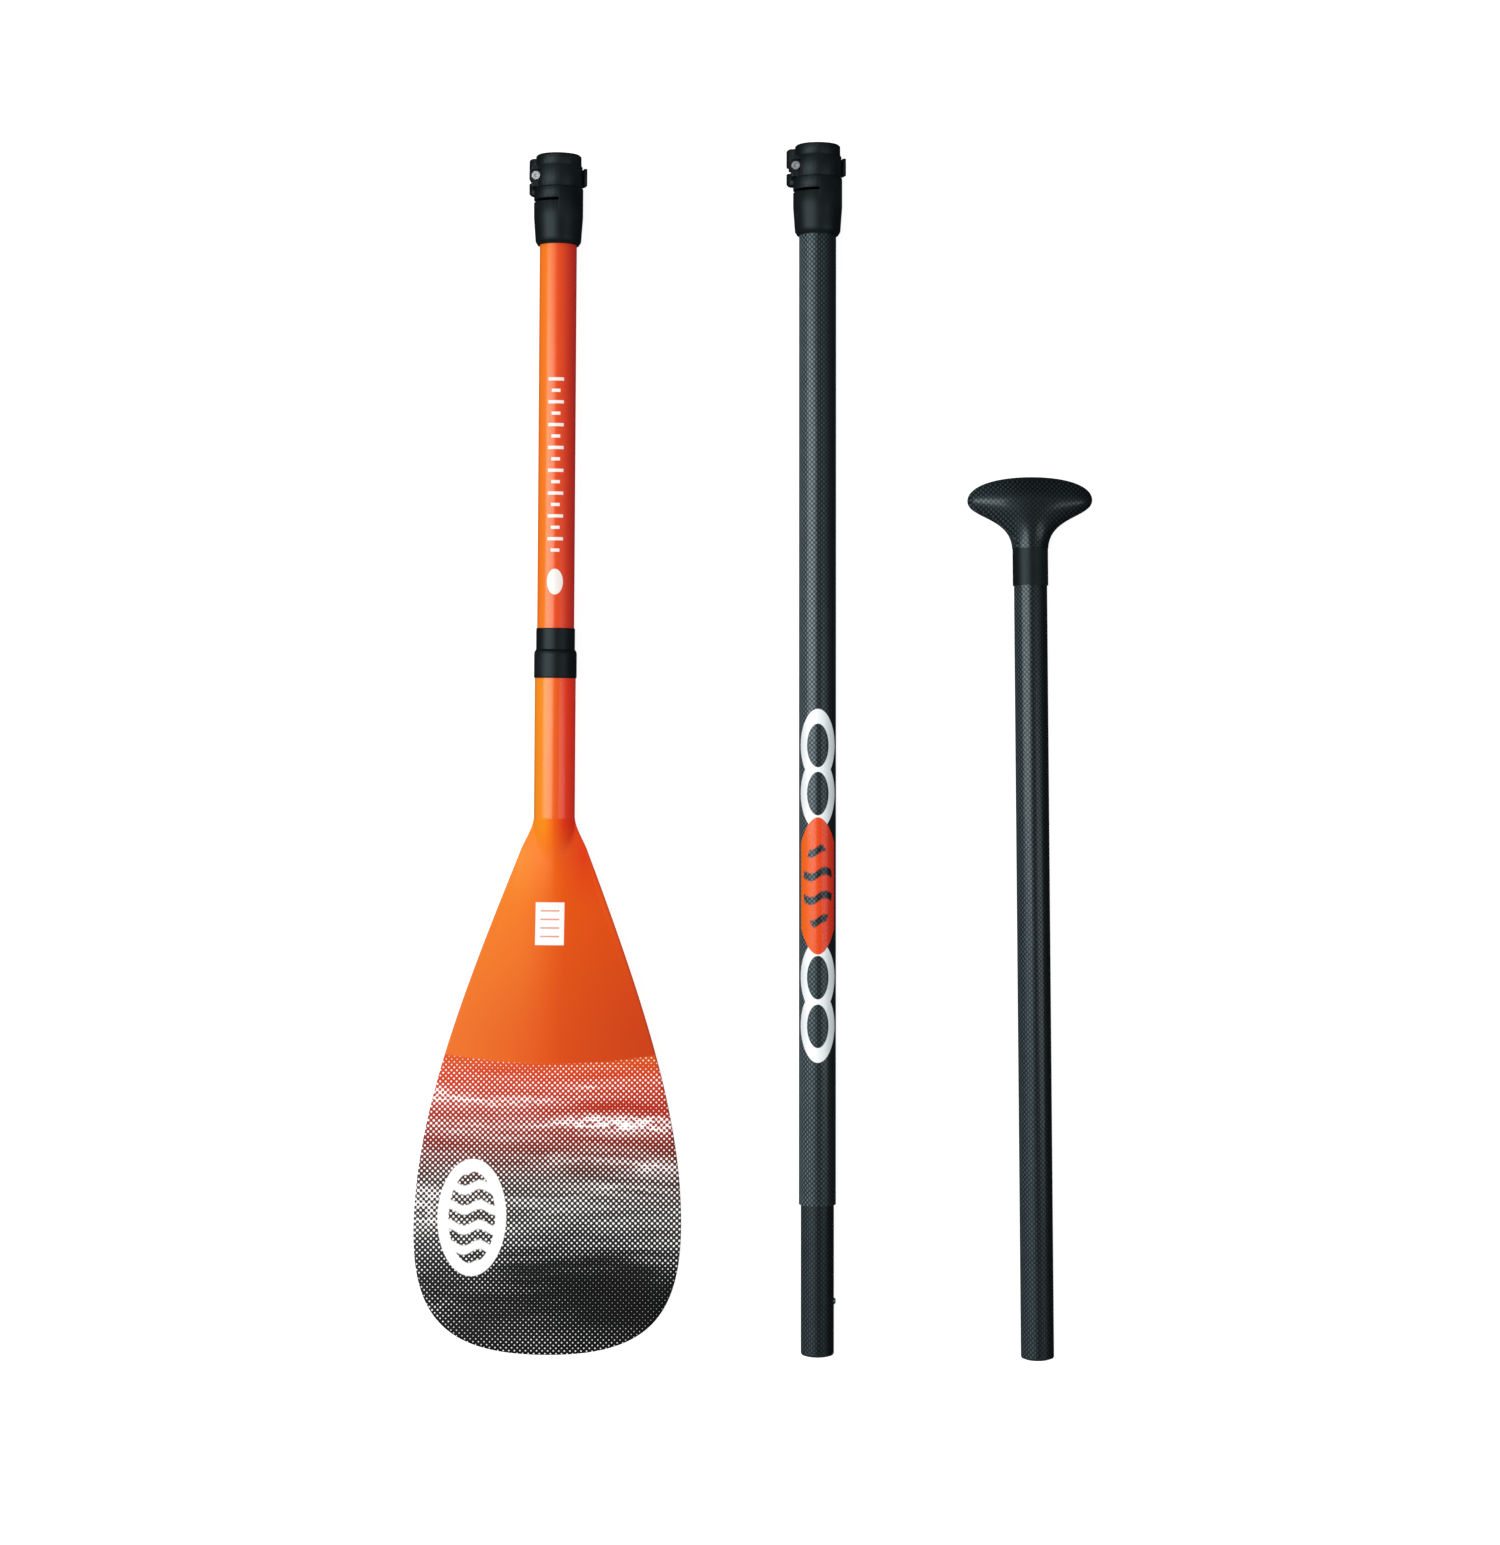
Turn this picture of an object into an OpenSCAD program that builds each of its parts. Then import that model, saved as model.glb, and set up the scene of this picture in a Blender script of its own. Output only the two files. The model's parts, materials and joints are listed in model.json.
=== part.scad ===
// Three-piece adjustable single blade paddle, laid out in its three loose sections.
// Units are millimetres, +Z is up. +Y runs from the blade end to the grip end.
// Each section is drawn with its shaft along its own z, mouth or grip at z = 0.

/* [Tubes] */
// Outer diameter of the lower and middle tubes
tube_od = 29; // [28.8:0.1:29.4]
// Wall of the lower and middle tubes
tube_wall = 1.2; // [1:0.1:1.3]
// Outer diameter of the ferrule and of the handle tube
inner_od = 26; // [25.6:0.1:26]
// Wall of the ferrule and of the handle tube
inner_wall = 1.4; // [1.2:0.1:1.8]
// Gap all round between a clamp's bore and the tube that slides in it
slide_gap = 0.08; // [0.04:0.01:0.1]

/* [Blade section] */
// Distance from the lower mouth to the top of the neck sleeve
sleeve_at = 369; // [360:1:376]
// Distance from the lower mouth to the top of the moulded neck
neck_at = 408; // [405:1:412]
// Distance from the lower mouth to the throat, where the blade flares
throat_at = 517.6; // [510:0.2:525]
// Outer radius of the moulded neck
neck_r = 16; // [15.8:0.1:16.2]
// Length of the blade from throat to tip, measured along the floor
blade_len = 408.6; // [400:0.2:415]
// Full width of the blade at its widest
blade_w = 206; // [200:1:210]
// Angle between the blade and its shaft in degrees
blade_bend = 10; // [8:0.5:11]
// Thickness of the edge rail
rail_t = 3.8; // [3.4:0.1:4.4]
// Width of the edge rail
rail_w = 4.5; // [4:0.1:5]
// Thickness of the blade's two skins
skin_t = 1.1; // [0.9:0.1:1.3]
// Height of the ridge down the front face
ridge_h = 5.5; // [4:0.5:6]

/* [Middle section] */
// Distance from the upper mouth to the step where the ferrule begins
step_at = 828.4; // [820:0.2:835]
// Length of ferrule that stands out of the middle tube
ferrule_len = 117; // [112:1:118]
// Distance from the ferrule's open end to the snap button
button_back = 40.7; // [36:0.1:44]
// Radius of the snap button
button_r = 2.5; // [2.3:0.1:2.7]
// Height the snap button stands proud
button_h = 1.3; // [1:0.1:1.5]

/* [Handle section] */
// Overall width of the palm grip
grip_w = 98; // [94:1:100]
// Front to back thickness of the palm grip
grip_t = 32; // [31:0.5:33]
// Height of the palm grip from crown to neck
grip_h = 56; // [55:0.5:58]
// Length of the smooth sleeve under the grip
cuff_len = 29; // [27:1:32]
// Distance from the grip's crown to the free end of the handle tube
handle_len = 690; // [680:1:695]

/* [Clamps] */
// Overall length of a clamp collar
collar_len = 70; // [68:0.1:71]
// Outer radius of the collar's body
collar_r = 19.2; // [19.1:0.1:19.4]
// Radius of the lip round the mouth
lip_r = 17.7; // [17.6:0.1:17.8]
// Length of the lip along the shaft
lip_h = 8.7; // [8.5:0.1:8.8]
// Length of the clamp band along the shaft
band_h = 16.6; // [16.4:0.1:16.8]
// Outer radius of the clamp band
band_r = 18.6; // [18.5:0.1:18.7]
// Distance from the mouth to the relief slit
slit_at = 35; // [34.5:0.1:35.5]
// Width of the relief slit
slit_w = 2.2; // [1.8:0.1:2.4]

/* [Part to show] */
// One sub-part, or all of them

/* [Hidden] */

// Colours
orange = [0.93, 0.33, 0.07];
black = [0.07, 0.08, 0.09];
carbon = [0.12, 0.13, 0.15];
foam = [0.85, 0.82, 0.72];
steel = [0.75, 0.76, 0.78];

// Fits and radii
tube_r = tube_od / 2;
tube_bore = tube_r - tube_wall;
inner_r = inner_od / 2;
inner_bore = inner_r - inner_wall;
bore_r = inner_r + slide_gap;
glue = 0.02;
eps = 0.02;
round_fn = 96;

// Where the three sections lie and how each one settles on the ground
blade_pos = [-154.52, 467.53, 0];
blade_yaw = -0.46;
blade_tilt = 0.93;
middle_pos = [47.68, 475.43, 0];
middle_yaw = 0;
middle_tilt = 0.68;
handle_pos = [214.08, 217.33, 0];
handle_yaw = 0.54;
handle_tilt = 0.25;

// Clamp: places in a plane across the shaft, x to the right, y up
seat_r = 15;
seat_z0 = lip_h;
band_z0 = seat_z0 + 0.2;
band_z1 = band_z0 + band_h;
seat_z1 = band_z1 + 0.2;
bolt_x = -17.3;
bolt_z = 16.7;
shank_r = 2;
head_r = 3.2;
head_h = 3;
pivot_y = -17.6;
pivot_r = 3;
cam_r = 6.9;
cam_off = 0.5;
relief_r = 7.75;
relief_over = 1.3;
ear_x0 = -21;
ear_x1 = -12.5;
ear_top = 10;
head_floor = 6.2;
ear_gap = 1.2;
rear_ear = -8.6;
saddle_t = 1.3;
saddle_w = 5.9;
arm_in_r = 19.55;
arm_out_r = 22.75;
arm_off = [-0.9, -0.6];
lever_z0 = 0.3;
lever_z1 = 28.4;
tip_z0 = 9.8;
tip_z1 = 22.8;
slot_half = 2.7;
split_half = 1;
slit_x = 1.2;

// Height of each section's shaft above the ground at its mouth or grip
lowest_y = pivot_y + cam_off - cam_r;
drop = function (t, z) z * tan(t);
blade_lift = -lowest_y + drop(blade_tilt, lever_z1);
middle_lift = -lowest_y + drop(middle_tilt, lever_z1);
handle_lift = grip_t / 2 + drop(handle_tilt, 18);

// Blade outline: half width against distance from the throat, as three curves
bez = function (p, t)
  pow(1 - t, 3) * p[0] + 3 * pow(1 - t, 2) * t * p[1] + 3 * (1 - t) * t * t * p[2]
  + pow(t, 3) * p[3];
half_w = blade_w / 2;
k_len = blade_len / 408.6;
flare = 0.39;
wide_at = 313 * k_len;
flare_at = 25 * k_len;
flare_w = 26;
shoulder = [[0, neck_r], [9, neck_r + 1], [flare_at - 8, flare_w - 8 * flare], [flare_at, flare_w]];
side = [[flare_at, flare_w], [142 * k_len, flare_w + (142 * k_len - flare_at) * flare],
  [230 * k_len, half_w], [wide_at, half_w]];
end_curve = [[wide_at, half_w], [wide_at + 69, half_w], [blade_len, 76], [blade_len, 0]];
outline = function (s)
  s < 0.1 ? bez(shoulder, s / 0.1)
  : s < 0.55 ? bez(side, (s - 0.1) / 0.45)
  : bez(end_curve, (s - 0.55) / 0.45);
// Unit direction pointing into the blade, square to the outline
step_s = 0.0005;
inward = function (s)
  let (d = outline(min(s + step_s, 1)) - outline(max(s - step_s, 0)), l = norm(d))
  [d[1] / l, -d[0] / l];
ease = function (t) let (c = min(max(t, 0), 1)) c * c * (3 - 2 * c);
// The rail starts thin just below the throat and grows to its full width
rows = 38;
row_s = function (i) i / rows;
rail_first = 2;
rail_start = outline(row_s(rail_first))[0];
rail_thin = 0.5;
rail_run = 45;
rail_at = function (v)
  v < rail_start - eps ? 0 : rail_thin + (rail_w - rail_thin) * ease((v - rail_start) / rail_run);
inset_line = function (s)
  let (p = outline(s), n = inward(s), w = rail_at(p[0]))
  [p[0] + n[0] * w * min(p[0] / 60, 1), p[1] + n[1] * w];

// Blade depth: the middle surface bends up after the throat
bend_run = 60;
bend_k = tan(blade_bend);
mid_y = function (v)
  v < bend_run ? bend_k * v * v / (2 * bend_run) : bend_k * (v - bend_run / 2);
smax = function (a, b, k) (a + b + sqrt((a - b) * (a - b) + k * k)) / 2;
edge_half = rail_t / 2;
// Front face: a low ridge with the neck's round back sinking into it
front_sink = 30;
back_sink = 190;
// How far the ridge has fallen at share q of the half width: rounded at its crest
crest = 0.4;
fall = function (q) (sqrt(q * q + crest * crest) - crest) / (sqrt(1 + crest * crest) - crest);
fillet = function (q) 0.8 + 2.6 * (1 - q);
rib = function (v, x, run, keep)
  sqrt(max(neck_r * neck_r - x * x, 0)) - 1.6 * max(abs(x) - neck_r, 0)
  - (neck_r - keep) * pow(v / run, 1.15);
front_y = function (v, x, w)
  let (q = abs(x) / w)
  smax(edge_half + ridge_h * (1 - 0.75 * ease(v / blade_len)) * (1 - fall(q)),
    rib(v, x, front_sink, 7), fillet(q));
back_y = function (v, x, w)
  let (q = abs(x) / w)
  smax(edge_half + 1.6 * (1 - fall(q)), rib(v, x, back_sink, 3), fillet(q));

// Rows of the blade grid run from throat to tip, columns from edge to edge
cols = 20;
col_x = function (j) let (q = 2 * j / cols - 1) sign(q) * pow(abs(q), 1.2);
last_w = 2;
grid_row = function (i)
  let (p = inset_line(row_s(i))) [p[0], max(p[1], last_w)];
// A closed shell between two depth functions over the whole grid
function face_points(top, skin) = [
  for (i = [0:rows]) let (p = grid_row(i))
    for (j = [0:cols]) let (x = col_x(j) * p[1], m = mid_y(p[0]))
      [x, top ? m + front_y(p[0], x, p[1]) - skin : m - back_y(p[0], x, p[1]) + skin, p[0]]
];
row_n = cols + 1;
sheet_n = (rows + 1) * row_n;
function quad_pair(a, b, c, d) = [[a, b, c], [a, c, d]];
function shell_faces() = [
  for (i = [0:rows - 1]) for (j = [0:cols - 1])
    let (a = i * row_n + j, b = a + 1, c = a + row_n + 1, d = a + row_n)
      each concat(quad_pair(a, b, c, d),
        quad_pair(a + sheet_n, d + sheet_n, c + sheet_n, b + sheet_n)),
  for (i = [0:rows - 1])
    let (a = i * row_n, d = a + row_n, b = a + cols, c = b + row_n)
      each concat(quad_pair(a, d, d + sheet_n, a + sheet_n),
        quad_pair(b, b + sheet_n, c + sheet_n, c)),
  for (j = [0:cols - 1])
    let (a = j, b = j + 1, c = rows * row_n + j, d = c + 1)
      each concat(quad_pair(a, a + sheet_n, b + sheet_n, b),
        quad_pair(c, d, d + sheet_n, c + sheet_n))
];
module blade_sheet(top_a, skin_a, top_b, skin_b) {
  polyhedron(
    points = concat(face_points(top_a, skin_a), face_points(top_b, skin_b)),
    faces = shell_faces(),
    convexity = 8
  );
}

// Places a section on the ground
module lay(pos, lift, yaw, tilt) {
  translate([pos[0], pos[1], lift]) rotate([0, 0, yaw]) rotate([90 + tilt, 0, 0]) children();
}
module on_blade() {
  lay(blade_pos, blade_lift, blade_yaw, blade_tilt) children();
}
module on_middle() {
  lay(middle_pos, middle_lift, middle_yaw, middle_tilt) children();
}
module on_handle() {
  lay(handle_pos, handle_lift, handle_yaw, handle_tilt) children();
}
module rod(r, z0, z1) {
  translate([0, 0, z0]) cylinder(r = r, h = z1 - z0, $fn = round_fn);
}
module pipe(r_out, r_in, z0, z1) {
  difference() {
    rod(r_out, z0, z1);
    rod(r_in, z0 - 1, z1 + 1);
  }
}

// Clamp parts, shared by the lower and the upper clamp
body_taper_at = 48;
end_r = 17.8;
end_fall = 2.8;
end_wall = 1.6;
lip_round = 1.1;
seat_edge = 0.5;
slot_reach = collar_r + 2;
module collar_part() {
  difference() {
    rotate_extrude($fn = round_fn) polygon([
      [bore_r, 0], [lip_r - lip_round, 0], [lip_r, lip_round], [lip_r, seat_z0],
      [seat_r, seat_z0], [seat_r, seat_z1],
      [collar_r - seat_edge, seat_z1], [collar_r, seat_z1 + seat_edge],
      [collar_r, body_taper_at], [end_r, collar_len - end_fall], [tube_r + end_wall, collar_len],
      [tube_r + glue, collar_len], [tube_r + glue, slit_at + slit_w],
      [bore_r, slit_at + slit_w]
    ]);
    // relief slit halfway round
    translate([-slot_reach, -slot_reach, slit_at])
      cube([slot_reach + slit_x, 2 * slot_reach, slit_w + eps]);
    // split along the shaft, on the ears' side
    translate([-slot_reach, -split_half, -1])
      cube([slot_reach, 2 * split_half, slit_at + slit_w + 1]);
    // room for the cam
    translate([bolt_x, pivot_y, -1])
      cylinder(r = relief_r, h = lever_z1 + relief_over, $fn = round_fn);
  }
}
band_fit = 0.05;
ear_round = 1.5;
hole_gap = 0.2;
pocket_w = 8.8;
pocket_len = 8.4;
cam_side = 6.2;
boss_x0 = -22.6;
boss_y0 = -7.4;
boss_y1 = 6;
boss_half = 2.5;
ear_w = ear_x1 - ear_x0;
module ears_shape() {
  translate([ear_x0, rear_ear]) square([ear_w, ear_top - ear_round - rear_ear]);
  translate([ear_x0 + ear_round, ear_top - 2 * ear_round]) square([ear_w - ear_round, 2 * ear_round]);
  translate([ear_x0 + ear_round, ear_top - ear_round]) circle(r = ear_round, $fn = 32);
}
module band_part() {
  difference() {
    union() {
      translate([0, 0, band_z0]) linear_extrude(band_h) difference() {
        union() {
          circle(r = band_r, $fn = round_fn);
          ears_shape();
        }
        circle(r = seat_r + band_fit, $fn = round_fn);
        // room for the cam and its saddle
        translate([bolt_x, pivot_y]) circle(r = relief_r, $fn = round_fn);
        translate([ear_x0 - cam_side, rear_ear - relief_r - 1])
          square([cam_side + saddle_w + 0.5, relief_r + 1]);
      }
      // boss beside the bolt, over the slot in the lever
      translate([boss_x0, boss_y0, bolt_z - boss_half])
        cube([ear_x0 - boss_x0 + 1, boss_y1 - boss_y0, 2 * boss_half]);
    }
    // gap between the two ears
    translate([boss_x0 - 1, -ear_gap, band_z0 - 1]) cube([-boss_x0 - 4, 2 * ear_gap, band_h + 2]);
    // bolt hole and the square pocket its head lies in
    translate([bolt_x, rear_ear - 1, bolt_z]) rotate([-90, 0, 0])
      cylinder(r = shank_r + hole_gap, h = ear_top - rear_ear + 2, $fn = 32);
    translate([ear_x0 - 1, head_floor, bolt_z - pocket_w / 2]) cube([pocket_len, ear_top, pocket_w]);
  }
}
key_r = 1.35;
key_floor = 1.2;
bolt_end = pivot_y - 2.6;
module bolt_part() {
  difference() {
    translate([bolt_x, 0, bolt_z]) rotate([-90, 0, 0]) union() {
      translate([0, 0, head_floor]) cylinder(r = head_r, h = head_h, $fn = 48);
      translate([0, 0, bolt_end])
        cylinder(r = shank_r, h = head_floor - bolt_end + 0.1, $fn = 48);
    }
    translate([bolt_x, head_floor + key_floor, bolt_z]) rotate([-90, 0, 0])
      cylinder(r = key_r, h = head_h, $fn = 6);
  }
}
barrel_in = 0.8;
module barrel_part() {
  difference() {
    translate([bolt_x, pivot_y, lever_z0 + barrel_in])
      cylinder(r = pivot_r, h = lever_z1 - lever_z0 - 2 * barrel_in, $fn = 64);
    translate([bolt_x, pivot_y - 5, bolt_z]) rotate([-90, 0, 0])
      cylinder(r = shank_r + eps, h = 10, $fn = 48);
  }
}
module saddle_part() {
  difference() {
    translate([ear_x0 + 0.4, rear_ear - saddle_t, band_z0 + 1])
      cube([saddle_w, saddle_t - eps, band_h - 2]);
    translate([bolt_x, rear_ear - 3, bolt_z]) rotate([-90, 0, 0])
      cylinder(r = shank_r + hole_gap, h = 6, $fn = 32);
  }
}
// Lever seen along the shaft: cam, then an arm that wraps behind the collar
tip_at = [20.9, -1.5];
module lever_shape() {
  translate([bolt_x, pivot_y + cam_off]) circle(r = cam_r, $fn = 64);
  intersection() {
    difference() {
      translate(arm_off) circle(r = arm_out_r, $fn = round_fn);
      circle(r = arm_in_r, $fn = round_fn);
    }
    polygon([[0, 0], [60, tip_at[1]], [60, -60], [-26, -60], [-15.5, -20.5]]);
  }
  translate(tip_at) circle(r = 1.3, $fn = 32);
}
corner = 4;
side_x0 = bolt_x - cam_r - cam_off + corner - 0.5;
side_x1 = -12;
// Lever seen from the front: tall at the cam, narrowing to the fingertip end
module lever_side() {
  translate([-30, lever_z0 + corner]) square([30 + side_x1, lever_z1 - lever_z0 - 2 * corner]);
  translate([side_x0, lever_z0]) square([side_x1 - side_x0, lever_z1 - lever_z0]);
  for (z = [lever_z0 + corner, lever_z1 - corner])
    translate([side_x0, z]) circle(r = corner, $fn = 48);
  polygon([[side_x1 - 0.3, lever_z0], [-5, lever_z0 + 1.5], [10, tip_z0], [24, tip_z0],
    [24, tip_z1], [10, tip_z1], [-5, lever_z1 - 1.5], [side_x1 - 0.3, lever_z1]]);
}
barrel_gap = 0.06;
module lever_part() {
  difference() {
    intersection() {
      linear_extrude(lever_z1 + 1) lever_shape();
      translate([0, 30, 0]) rotate([90, 0, 0]) linear_extrude(80) lever_side();
    }
    translate([bolt_x, pivot_y, -1])
      cylinder(r = pivot_r + barrel_gap, h = lever_z1 + 3, $fn = 64);
    // slot that lets the bolt pass as the lever turns
    translate([bolt_x, pivot_y, bolt_z - slot_half]) linear_extrude(2 * slot_half) union() {
      polygon([[3.4, 1], [2.6, 2.5], [2.6, 12], [-14, 12], [-14, -12], [8.4, -12],
        [3.8, -3.6], [3.4, -2]]);
      circle(r = pivot_r + 1.2, $fn = 48);
    }
  }
}

// Blade section
module blade_front_skin() {
  color(orange) on_blade() translate([0, 0, throat_at]) blade_sheet(true, 0, true, skin_t);
}
module blade_back_skin() {
  color(orange) on_blade() translate([0, 0, throat_at]) blade_sheet(false, skin_t, false, 0);
}
module blade_core() {
  color(foam) on_blade() translate([0, 0, throat_at])
    blade_sheet(true, skin_t + eps, false, skin_t + eps);
}
rail_path = [
  for (i = [rail_first:rows]) i, for (i = [rows - 1:-1:rail_first]) i
];
module edge_rail() {
  half = rows - rail_first;
  n = 2 * half + 1;
  h = edge_half - eps;
  pts = [
    for (k = [0:n - 1])
      let (i = rail_path[k], flip = k <= half ? 1 : -1, at_tip = k == half,
        o = outline(row_s(i)), q = grid_row(i), m = mid_y(o[0]), mi = mid_y(q[0]),
        ow = at_tip ? 0 : o[1], qw = at_tip ? 0 : q[1] + eps, qz = q[0] + (at_tip ? eps : 0),
        bw = ow * 0.75 + qw * 0.25, bz = o[0] * 0.75 + qz * 0.25)
        each [
          [flip * qw, mi + h, qz], [flip * bw, m + h, bz],
          [flip * ow, m + h * 0.4, o[0]], [flip * ow, m - h * 0.4, o[0]],
          [flip * bw, m - h, bz], [flip * qw, mi - h, qz]
        ]
  ];
  ring = [
    for (k = [0:n - 2]) for (j = [0:5])
      let (a = k * 6 + j, b = k * 6 + (j + 1) % 6)
        each [[a, a + 6, b], [b, a + 6, b + 6]]
  ];
  ends = [[0, 1, 2, 3, 4, 5], [for (j = [5:-1:0]) (n - 1) * 6 + j]];
  color(orange) on_blade() translate([0, 0, throat_at])
    polyhedron(points = pts, faces = concat(ring, ends), convexity = 8);
}
neck_floor = 8;
module blade_neck() {
  color(orange) on_blade() difference() {
    rod(neck_r, neck_at, throat_at);
    rod(tube_r + glue, neck_at - 1, throat_at - neck_floor);
  }
}
thin_r = 15.2;
thick_r = 16.7;
thin_len = 16.4;
module neck_sleeve() {
  color(black) on_blade() rotate_extrude($fn = round_fn) polygon([
    [tube_r + glue, sleeve_at], [thin_r - 0.2, sleeve_at], [thin_r, sleeve_at + 0.6],
    [thin_r, sleeve_at + thin_len], [thick_r - 0.3, sleeve_at + thin_len + 2],
    [thick_r, sleeve_at + thin_len + 3.6], [thick_r, neck_at - 1],
    [thick_r - 0.3, neck_at - glue], [tube_r + glue, neck_at - glue]
  ]);
}
button_hole_z = ferrule_len - button_back;
tube_start = slit_at + slit_w + 2.5;
bung_len = 18;
module lower_tube() {
  color(orange) on_blade() difference() {
    pipe(tube_r, tube_bore, tube_start, throat_at - neck_floor - 0.5);
    // hole in the back wall for the snap button
    translate([0, 0, button_hole_z]) rotate([90, 0, 0])
      cylinder(r = button_r + 0.3, h = tube_od, $fn = 32);
  }
}
module lower_bung() {
  color(foam) on_blade() rod(tube_bore - eps, ferrule_len + 8, ferrule_len + 8 + bung_len);
}
module lower_collar() {
  color(black) on_blade() collar_part();
}
module lower_band() {
  color(black) on_blade() band_part();
}
module lower_bolt() {
  color(steel) on_blade() bolt_part();
}
module lower_barrel() {
  color(steel) on_blade() barrel_part();
}
module lower_saddle() {
  color(steel) on_blade() saddle_part();
}
module lower_lever() {
  color(black) on_blade() lever_part();
}

// Middle section
ferrule_end = step_at + ferrule_len;
ferrule_in = 60;
plug_in = 12;
button_z = ferrule_end - button_back;
module middle_tube() {
  color(carbon) on_middle() pipe(tube_r, tube_bore, tube_start, step_at);
}
module middle_bung() {
  bung_end = step_at - ferrule_in - 2;
  color(foam) on_middle() rod(tube_bore - eps, bung_end - bung_len, bung_end);
}
module ferrule() {
  color(carbon) on_middle() difference() {
    union() {
      pipe(inner_r, inner_bore, step_at - 0.4, ferrule_end);
      pipe(tube_bore - eps, inner_bore, step_at - ferrule_in, step_at);
    }
    translate([0, 0, button_z]) rotate([0, 90, 0])
      cylinder(r = button_r + 0.05, h = tube_od, $fn = 48);
  }
}
module ferrule_plug() {
  color(black) on_middle() rotate_extrude($fn = round_fn) polygon([
    [0, ferrule_end - plug_in], [inner_bore - eps, ferrule_end - plug_in],
    [inner_bore - eps, ferrule_end + glue], [inner_r, ferrule_end + glue],
    [inner_r - 0.7, ferrule_end + 1.2], [inner_r - 3, ferrule_end + 2], [0, ferrule_end + 2.2]
  ]);
}
button_bevel = 0.8;
module snap_button() {
  rim = inner_r + button_h - button_bevel;
  color(steel) on_middle() translate([0, 0, button_z]) rotate([0, 90, 0]) union() {
    cylinder(r = button_r, h = rim, $fn = 48);
    translate([0, 0, rim])
      cylinder(r1 = button_r, r2 = button_r - button_bevel, h = button_bevel, $fn = 48);
  }
}
spring_t = 0.6;
spring_w = 5;
spring_x = 0.4 - inner_bore;
spring_leg = 6;
spring_fold = 13.5;
button_seat = -0.3;
module snap_spring() {
  // a leaf folded in a V, one leg on the far wall and one under the button
  color(steel) on_middle() translate([0, spring_w / 2, button_z]) rotate([90, 0, 0])
    linear_extrude(spring_w) polygon([
      [spring_x, -spring_leg], [spring_x + spring_t, -spring_leg],
      [spring_x + spring_t, 2 * spring_leg], [button_seat - spring_t, 2.4],
      [button_seat - spring_t, -spring_leg / 2], [button_seat, -spring_leg / 2],
      [button_seat, 2.7], [spring_x + 0.8, spring_fold], [spring_x, spring_fold]
    ]);
}
module upper_collar() {
  color(black) on_middle() collar_part();
}
module upper_band() {
  color(black) on_middle() band_part();
}
module upper_bolt() {
  color(steel) on_middle() bolt_part();
}
module upper_barrel() {
  color(steel) on_middle() barrel_part();
}
module upper_saddle() {
  color(steel) on_middle() saddle_part();
}
module upper_lever() {
  color(black) on_middle() lever_part();
}

// Handle section
tube_in_grip = 24;
module handle_tube() {
  color(carbon) on_handle() pipe(inner_r, inner_bore, tube_in_grip, handle_len);
}
module handle_plug() {
  color(black) on_handle() rotate_extrude($fn = round_fn) polygon([
    [0, handle_len - plug_in], [inner_bore - eps, handle_len - plug_in],
    [inner_bore - eps, handle_len + glue], [inner_r, handle_len + glue],
    [inner_r - 0.6, handle_len + 1], [inner_r - 3.4, handle_len + 2.1], [0, handle_len + 3]
  ]);
}
// Palm grip: rings from crown to neck, each a rounded oval
grip_neck_r = 14.2;
widest_z = 18.5;
crown = [[0.3, 0], [31, 0.1], [grip_w / 2, 7.9], [grip_w / 2, widest_z]];
waist = [[grip_w / 2, widest_z], [grip_w / 2, 32], [grip_neck_r + 1, 31], [grip_neck_r, grip_h]];
grip_side = function (t) t < 0.5 ? bez(crown, t * 2) : bez(waist, t * 2 - 1);
deep = [[0.3, 0], [9, 0.4], [grip_t / 2, 3], [grip_t / 2, widest_z]];
deep_low = [[grip_t / 2, widest_z], [grip_t / 2, 32], [grip_neck_r, 36], [grip_neck_r, grip_h]];
grip_depth = function (t) t < 0.5 ? bez(deep, t * 2) : bez(deep_low, t * 2 - 1);
grip_rings = 36;
grip_seg = 28;
least = 0.2;
module grip_solid(inset) {
  pts = [
    for (i = [0:grip_rings])
      let (t = i / grip_rings, a = max(grip_side(t)[0] - inset, least),
        b = max(grip_depth(t)[0] - inset, least), z = max(grip_side(t)[1], inset))
        for (j = [0:grip_seg - 1])
          let (g = 360 * j / grip_seg) [a * cos(g), b * sin(g), z]
  ];
  walls = [
    for (i = [0:grip_rings - 1]) for (j = [0:grip_seg - 1])
      let (a = i * grip_seg + j, b = i * grip_seg + (j + 1) % grip_seg)
        each [[a, a + grip_seg, b], [b, a + grip_seg, b + grip_seg]]
  ];
  caps = [
    [for (j = [0:grip_seg - 1]) j],
    [for (j = [grip_seg - 1:-1:0]) grip_rings * grip_seg + j]
  ];
  polyhedron(points = pts, faces = concat(walls, caps), convexity = 6);
}
grip_wall = 1.8;
socket_end = tube_in_grip - 0.5;
module palm_grip() {
  color(carbon) on_handle() difference() {
    grip_solid(0);
    grip_solid(grip_wall);
    rod(inner_r + glue, socket_end, grip_h + 1);
  }
}
relief_at = 44;
module grip_core() {
  color(foam) on_handle() difference() {
    grip_solid(grip_wall + 0.05);
    rod(inner_r + glue, socket_end, grip_h + 1);
    rod(inner_r + 4, relief_at, grip_h + 1);
  }
}
cuff_r = 13.9;
module grip_cuff() {
  color(black) on_handle() pipe(cuff_r, inner_r + glue, grip_h + 0.1, grip_h + cuff_len);
}

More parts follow.
